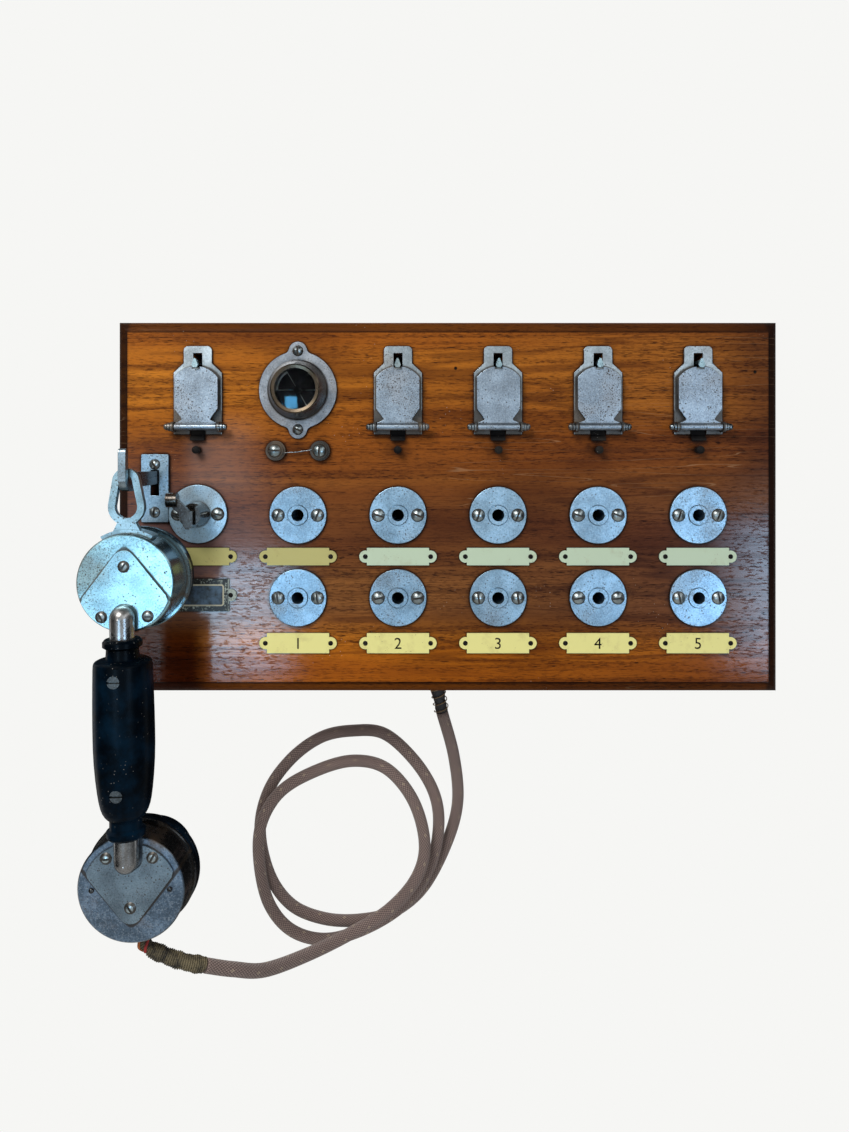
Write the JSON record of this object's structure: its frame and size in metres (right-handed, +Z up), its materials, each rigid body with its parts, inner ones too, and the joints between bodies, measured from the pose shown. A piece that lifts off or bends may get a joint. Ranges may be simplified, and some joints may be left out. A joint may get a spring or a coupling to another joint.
{
  "type": "wall telephone switchboard",
  "caption": "Wooden wall board with drop annunciators, jacks, a star indicator, a turn switch and a handset on a hook, joined by a coiled cord.",
  "frame": {"origin": "centre of the back of the case, on the wall plane", "axes": "+X to the right seen from the front, +Y into the wall, +Z up"},
  "size_m": [0.4317, 0.1608, 0.4382],
  "materials": {
    "walnut": "worn varnish",
    "stained_wood": "stained",
    "nickel": "worn nickel plate",
    "brass": "tarnished",
    "iron": "blackened",
    "black_paint": "black lacquer",
    "ebonite": "polished ebonite",
    "celluloid": "yellowed",
    "silk": "wound silk-covered wire",
    "braid": "braided cotton",
    "glass": "clear"
  },
  "bodies": {
    "board": {"front_panel": "walnut", "case_top": "stained_wood", "case_bottom": "stained_wood", "case_sides": "stained_wood", "back_board": "stained_wood", "back_screws": "brass", "hanger_plates": "iron", "drop_plates": "nickel", "drop_pins": "nickel", "drop_magnets": "iron", "drop_coils": "silk", "pivot_pins": "brass", "bell_springs": "ebonite", "bell_studs": "brass", "indicator_bezel": "nickel", "indicator_glass": "glass", "indicator_dial": "celluloid", "indicator_coil": "silk", "fuse_posts": "nickel", "fuse_wire": "brass", "jack_plates": "nickel", "jack_sleeves": "nickel", "jack_springs": "brass", "label_plates": "celluloid", "name_plate": "black_paint", "label_nails": "ebonite", "plate_screws": "nickel", "switch_plate": "nickel", "contact_springs": "brass", "hook_plate": "nickel", "hook_bracket": "brass", "terminal_strip": "ebonite", "induction_coil": "silk", "wiring_loom": "silk", "cord_entry": "braid", "handset_cord": "braid"},
    "shutter_1": {"shutter_1": "nickel"},
    "shutter_2": {"shutter_2": "nickel"},
    "shutter_3": {"shutter_3": "nickel"},
    "shutter_4": {"shutter_4": "nickel"},
    "shutter_5": {"shutter_5": "nickel"},
    "latch_1": {"latch_1": "nickel"},
    "latch_2": {"latch_2": "nickel"},
    "latch_3": {"latch_3": "nickel"},
    "latch_4": {"latch_4": "nickel"},
    "latch_5": {"latch_5": "nickel"},
    "indicator_star": {"indicator_star": "black_paint"},
    "switch_handle": {"switch_handle": "nickel"},
    "hook_lever": {"hook_lever": "nickel"},
    "handset": {"receiver_cup": "nickel", "receiver_cap": "ebonite", "clamp_plates": "nickel", "hanging_ring": "nickel", "handle_tube": "nickel", "handle_grip": "ebonite", "transmitter_cup": "nickel", "transmitter_cap": "ebonite", "handset_screws": "nickel", "diaphragms": "iron", "cord_whipping": "braid"}
  },
  "joints": [
    {"name": "shutter_1_fall", "type": "hinge", "parent": "board", "child": "shutter_1", "pos_m": [-0.16075, -0.085, 0.0515], "axis": [1, 0, 0], "range_deg": [0, 178]},
    {"name": "shutter_2_fall", "type": "hinge", "parent": "board", "child": "shutter_2", "pos_m": [-0.03215, -0.085, 0.0515], "axis": [1, 0, 0], "range_deg": [0, 178]},
    {"name": "shutter_3_fall", "type": "hinge", "parent": "board", "child": "shutter_3", "pos_m": [0.03215, -0.085, 0.0515], "axis": [1, 0, 0], "range_deg": [0, 178]},
    {"name": "shutter_4_fall", "type": "hinge", "parent": "board", "child": "shutter_4", "pos_m": [0.09645, -0.085, 0.0515], "axis": [1, 0, 0], "range_deg": [0, 178]},
    {"name": "shutter_5_fall", "type": "hinge", "parent": "board", "child": "shutter_5", "pos_m": [0.16075, -0.085, 0.0515], "axis": [1, 0, 0], "range_deg": [0, 178]},
    {"name": "latch_1_lift", "type": "hinge", "parent": "board", "child": "latch_1", "pos_m": [-0.16075, -0.0156, 0.093], "axis": [-1, 0, 0], "range_deg": [0, 2.5]},
    {"name": "latch_2_lift", "type": "hinge", "parent": "board", "child": "latch_2", "pos_m": [-0.03215, -0.0156, 0.093], "axis": [-1, 0, 0], "range_deg": [0, 2.5]},
    {"name": "latch_3_lift", "type": "hinge", "parent": "board", "child": "latch_3", "pos_m": [0.03215, -0.0156, 0.093], "axis": [-1, 0, 0], "range_deg": [0, 2.5]},
    {"name": "latch_4_lift", "type": "hinge", "parent": "board", "child": "latch_4", "pos_m": [0.09645, -0.0156, 0.093], "axis": [-1, 0, 0], "range_deg": [0, 2.5]},
    {"name": "latch_5_lift", "type": "hinge", "parent": "board", "child": "latch_5", "pos_m": [0.16075, -0.0156, 0.093], "axis": [-1, 0, 0], "range_deg": [0, 2.5]},
    {"name": "star_turn", "type": "hinge", "parent": "board", "child": "indicator_star", "pos_m": [-0.09645, -0.078, 0.0753], "axis": [0, 1, 0], "range_deg": [0, 60]},
    {"name": "switch_turn", "type": "hinge", "parent": "board", "child": "switch_handle", "pos_m": [-0.16075, -0.078, -0.0043], "axis": [0, 1, 0], "range_deg": [0, 90]},
    {"name": "hook_press", "type": "hinge", "parent": "board", "child": "hook_lever", "pos_m": [-0.18815, -0.04, 0.0192], "axis": [1, 0, 0], "range_deg": [0, 6], "stiffness_Nm_per_rad": 0.2, "springref_deg": -11.46},
    {"name": "handset_swing", "type": "hinge", "parent": "board", "child": "handset", "pos_m": [-0.18815, -0.132, 0.0237], "axis": [-1, 0, 0], "range_deg": [-4, 30]}
  ]
}
